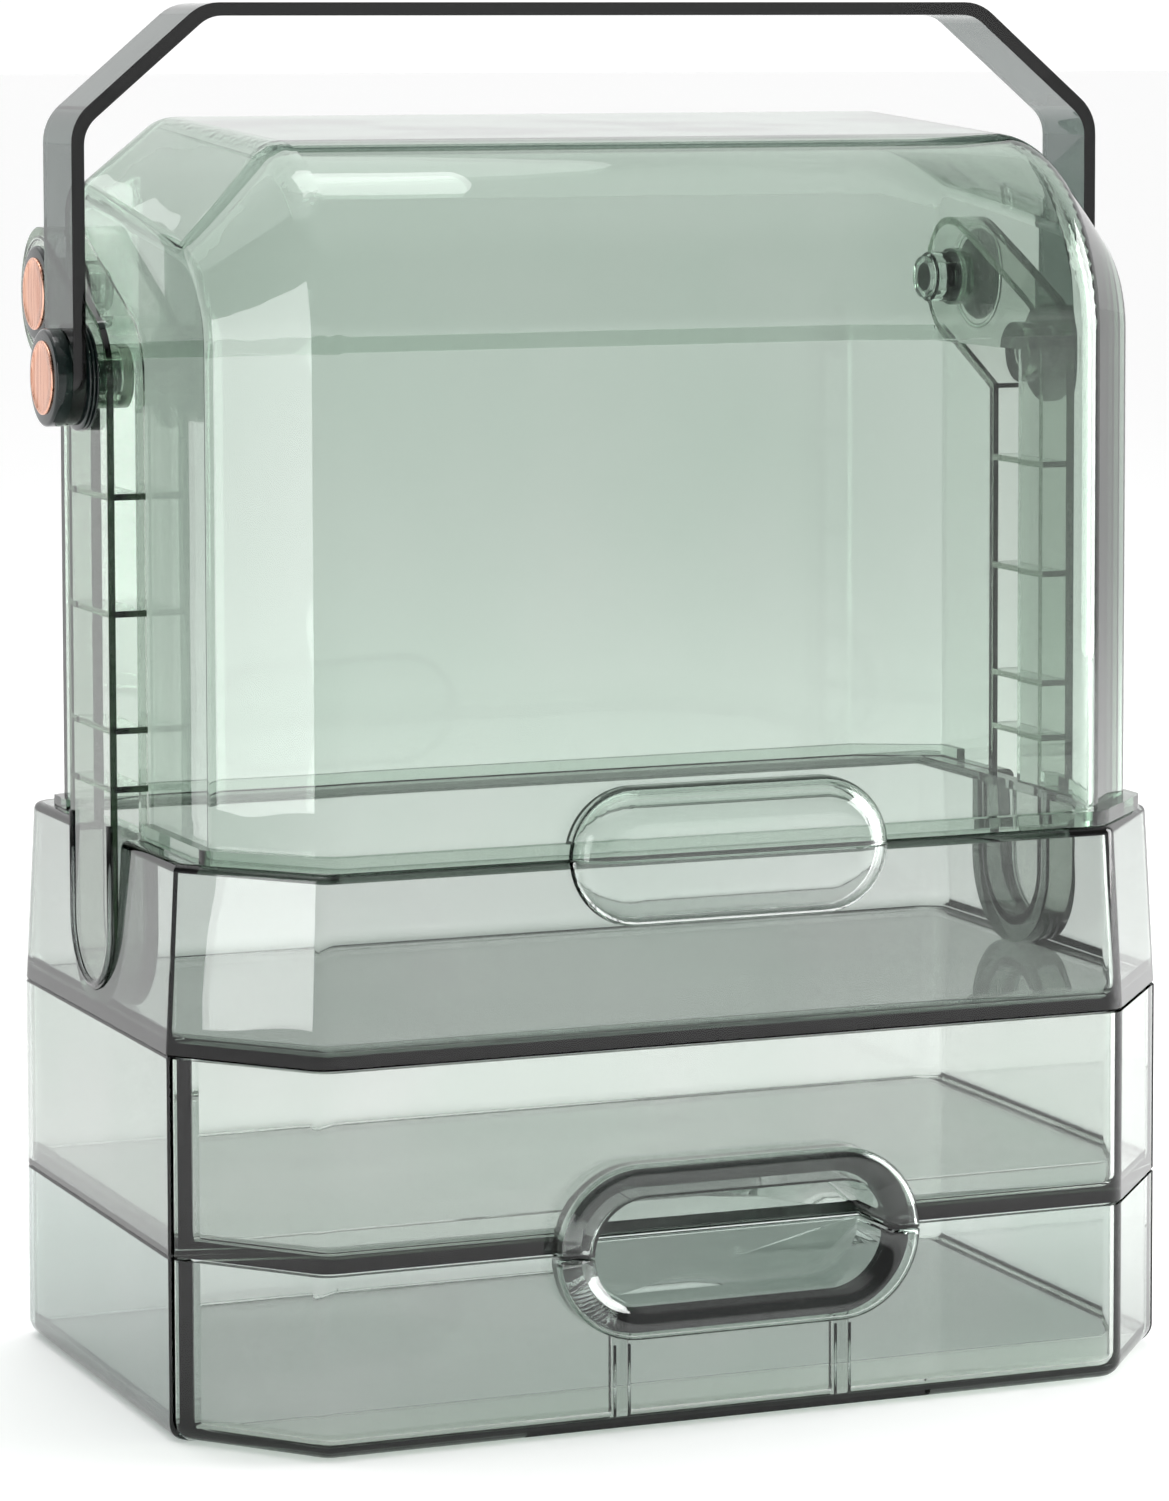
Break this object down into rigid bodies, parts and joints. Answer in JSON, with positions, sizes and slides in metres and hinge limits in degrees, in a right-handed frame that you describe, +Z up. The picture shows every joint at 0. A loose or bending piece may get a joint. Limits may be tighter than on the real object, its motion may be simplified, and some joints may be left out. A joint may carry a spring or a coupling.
{
  "type": "makeup organizer box",
  "caption": "Carryable clear tinted vanity box with a rear-hinged dust lid, swinging bail handle, open tray and stacked pull-out drawers sharing one ring pull.",
  "frame": {"origin": "centre of the base footprint on the surface the box stands on", "axes": "+Z up, -Y towards the drawer fronts, +X to the right seen from the front"},
  "size_m": [0.2914, 0.167, 0.3475],
  "materials": {
    "tinted_plastic": "clear grey-green tinted, high gloss",
    "tinted_plastic_deep": "clear smoky green tinted, thicker and darker, high gloss",
    "clear_plastic": "nearly clear, faintly green, high gloss",
    "dark_plastic": "near-black green, gloss",
    "rose_metal": "rose gold brushed face"
  },
  "bodies": {
    "box": {"lower_case": "tinted_plastic", "upper_case": "tinted_plastic", "tray": "tinted_plastic", "tray_pull": "clear_plastic", "back_shell": "tinted_plastic", "pillar_left": "tinted_plastic", "pillar_right": "tinted_plastic", "lid_pin_left": "clear_plastic", "lid_pin_right": "clear_plastic", "lid_cap_left": "dark_plastic", "lid_cap_right": "dark_plastic", "lid_disc_left": "rose_metal", "lid_disc_right": "rose_metal"},
    "lid": {"lid": "tinted_plastic", "lid_pull": "clear_plastic", "lid_bush_left": "clear_plastic", "lid_bush_right": "clear_plastic"},
    "handle_rings": {"handle_ring_left": "dark_plastic", "handle_ring_right": "dark_plastic", "handle_pin_left": "tinted_plastic_deep", "handle_pin_right": "tinted_plastic_deep"},
    "handle": {"handle_bail": "tinted_plastic_deep", "handle_cap_left": "dark_plastic", "handle_cap_right": "dark_plastic", "handle_disc_left": "rose_metal", "handle_disc_right": "rose_metal"},
    "upper_drawer": {"upper_drawer": "tinted_plastic", "upper_pull": "clear_plastic"},
    "lower_drawer": {"lower_drawer": "tinted_plastic", "lower_pull": "clear_plastic"}
  },
  "joints": [
    {"name": "lid_hinge", "type": "hinge", "parent": "box", "child": "lid", "pos_m": [0, 0.053, 0.274], "axis": [-1, 0, 0], "range_deg": [0, 75]},
    {"name": "handle_push", "type": "hinge", "parent": "box", "child": "handle_rings", "pos_m": [0, 0.014, 0.255], "axis": [-1, 0, 0], "range_deg": [0, 71.25]},
    {"name": "handle_swing", "type": "hinge", "parent": "handle_rings", "child": "handle", "pos_m": [0, 0.014, 0.255], "axis": [-1, 0, 0], "range_deg": [0, 57]},
    {"name": "upper_drawer_slide", "type": "slide", "parent": "box", "child": "upper_drawer", "axis": [0, -1, 0], "range_m": [0, 0.105]},
    {"name": "lower_drawer_slide", "type": "slide", "parent": "box", "child": "lower_drawer", "axis": [0, -1, 0], "range_m": [0, 0.105]}
  ],
  "couplings": [
    {"joint": "lid_hinge", "follows": "handle_push", "ratio": 1.0526}
  ]
}
